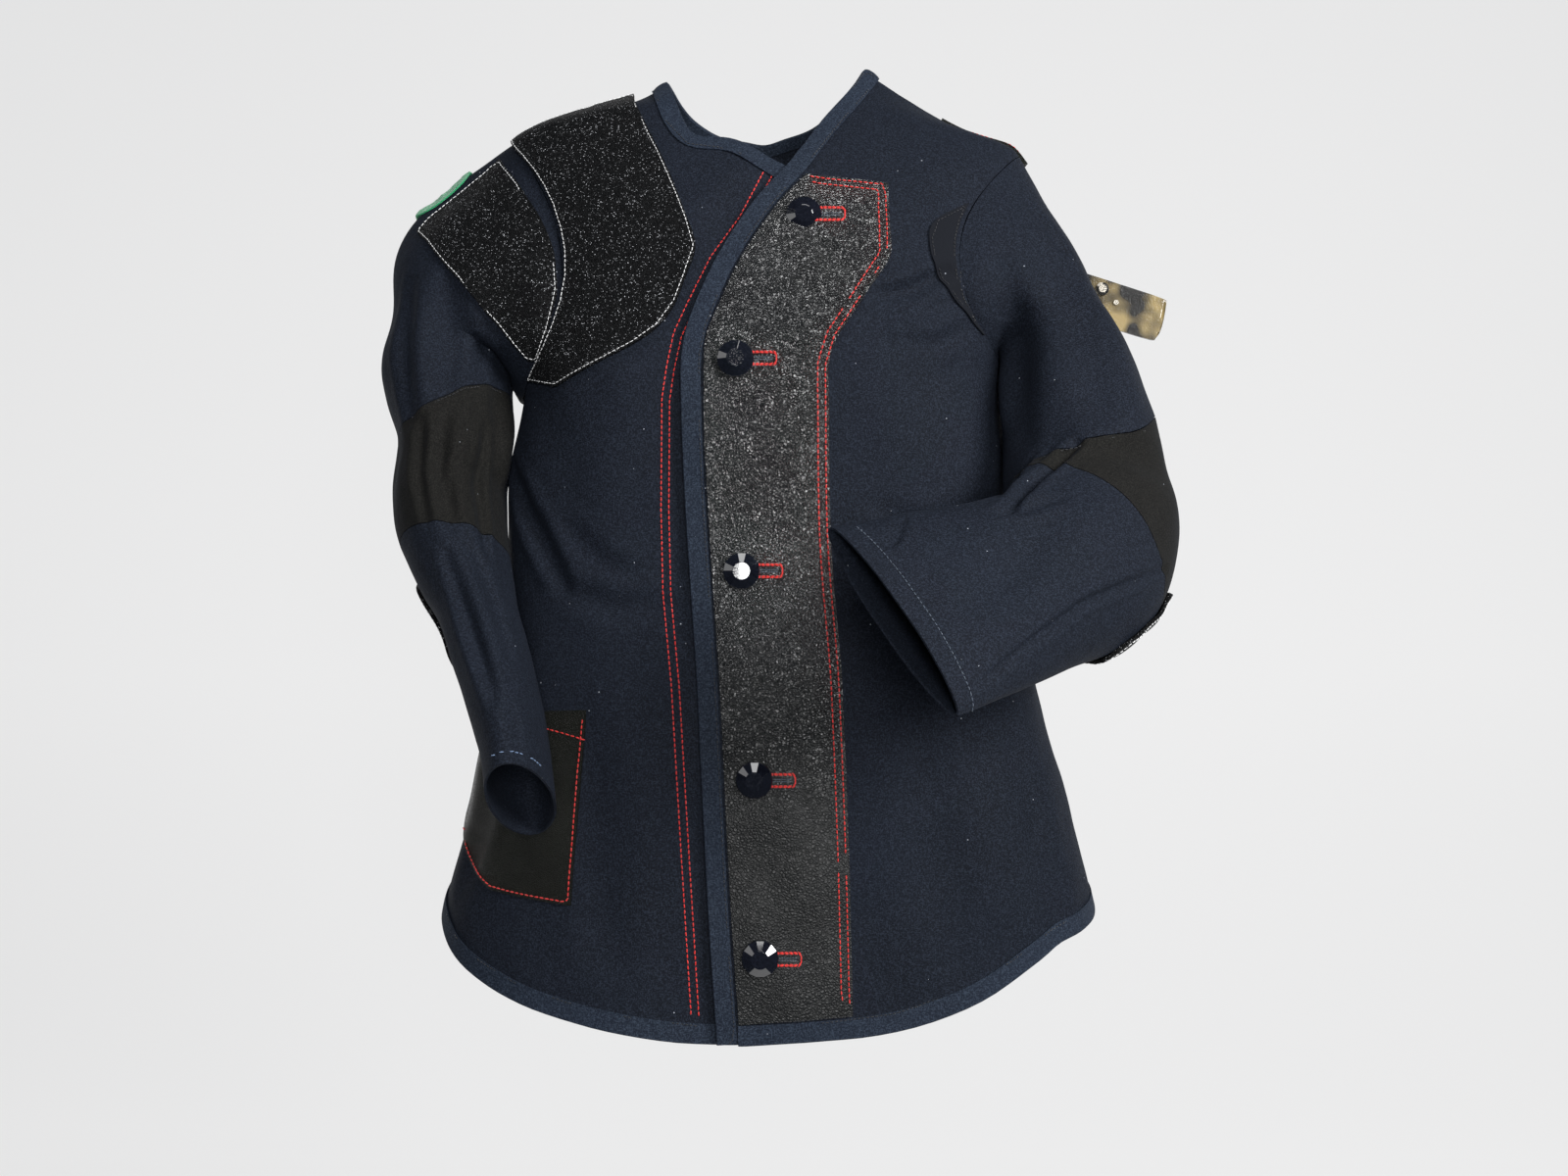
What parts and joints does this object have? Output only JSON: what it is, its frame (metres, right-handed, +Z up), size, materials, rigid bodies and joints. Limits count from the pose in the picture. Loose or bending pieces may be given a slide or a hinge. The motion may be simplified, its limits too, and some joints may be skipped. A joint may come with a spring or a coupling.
{
  "type": "shooting jacket",
  "caption": "Fitted target shooting jacket in navy canvas, V neck with no collar, leather button placket, grit pads on right shoulder and both elbows, patch pocket on the right hip",
  "frame": {"origin": "the middle of the line between the two shoulder-neck points, where a body or hanger holds the jacket up", "axes": "+Z up, -Y out of the chest, +X to the wearer's left"},
  "size_m": [0.6489, 0.4348, 0.7627],
  "materials": {
    "navy_canvas": "stiff woven canvas, matt",
    "navy_binding": "folded woven tape, matt",
    "elbow_cloth": "soft black cloth, matt",
    "black_leather": "grained leather, half gloss",
    "pocket_leather": "nubuck leather, dull",
    "dark_suede": "suede, matt",
    "rubber_grit": "rough grit with small bright grains",
    "gloss_button": "cut and polished",
    "badge_green": "woven badge, matt",
    "steel": "polished"
  },
  "bodies": {
    "root": {"arm_strap": "black_leather", "back": "navy_canvas", "badge": "badge_green", "binding_front_left": "navy_binding", "binding_neck_back": "navy_binding", "binding_neck_right": "navy_binding", "button_1": "gloss_button", "button_2": "gloss_button", "button_3": "gloss_button", "button_4": "gloss_button", "button_5": "gloss_button", "elbow_band_left": "elbow_cloth", "elbow_band_right": "elbow_cloth", "elbow_pad_left": "rubber_grit", "elbow_pad_right": "rubber_grit", "eyelet_1": "steel", "eyelet_2": "steel", "eyelet_3": "steel", "front_left": "navy_canvas", "front_right": "navy_canvas", "gusset_left": "dark_suede", "hem_binding_back": "navy_binding", "hem_binding_left": "navy_binding", "hem_binding_right": "navy_binding", "placket": "black_leather", "pocket": "pocket_leather", "shoulder_pad_body": "rubber_grit", "shoulder_pad_sleeve": "rubber_grit", "shoulder_patch_back": "dark_suede", "sleeve_left_forearm": "navy_canvas", "sleeve_left_upper": "navy_canvas", "sleeve_right_forearm": "navy_canvas", "sleeve_right_upper": "navy_canvas", "snap_1": "steel", "snap_2": "steel"}
  },
  "joints": []
}
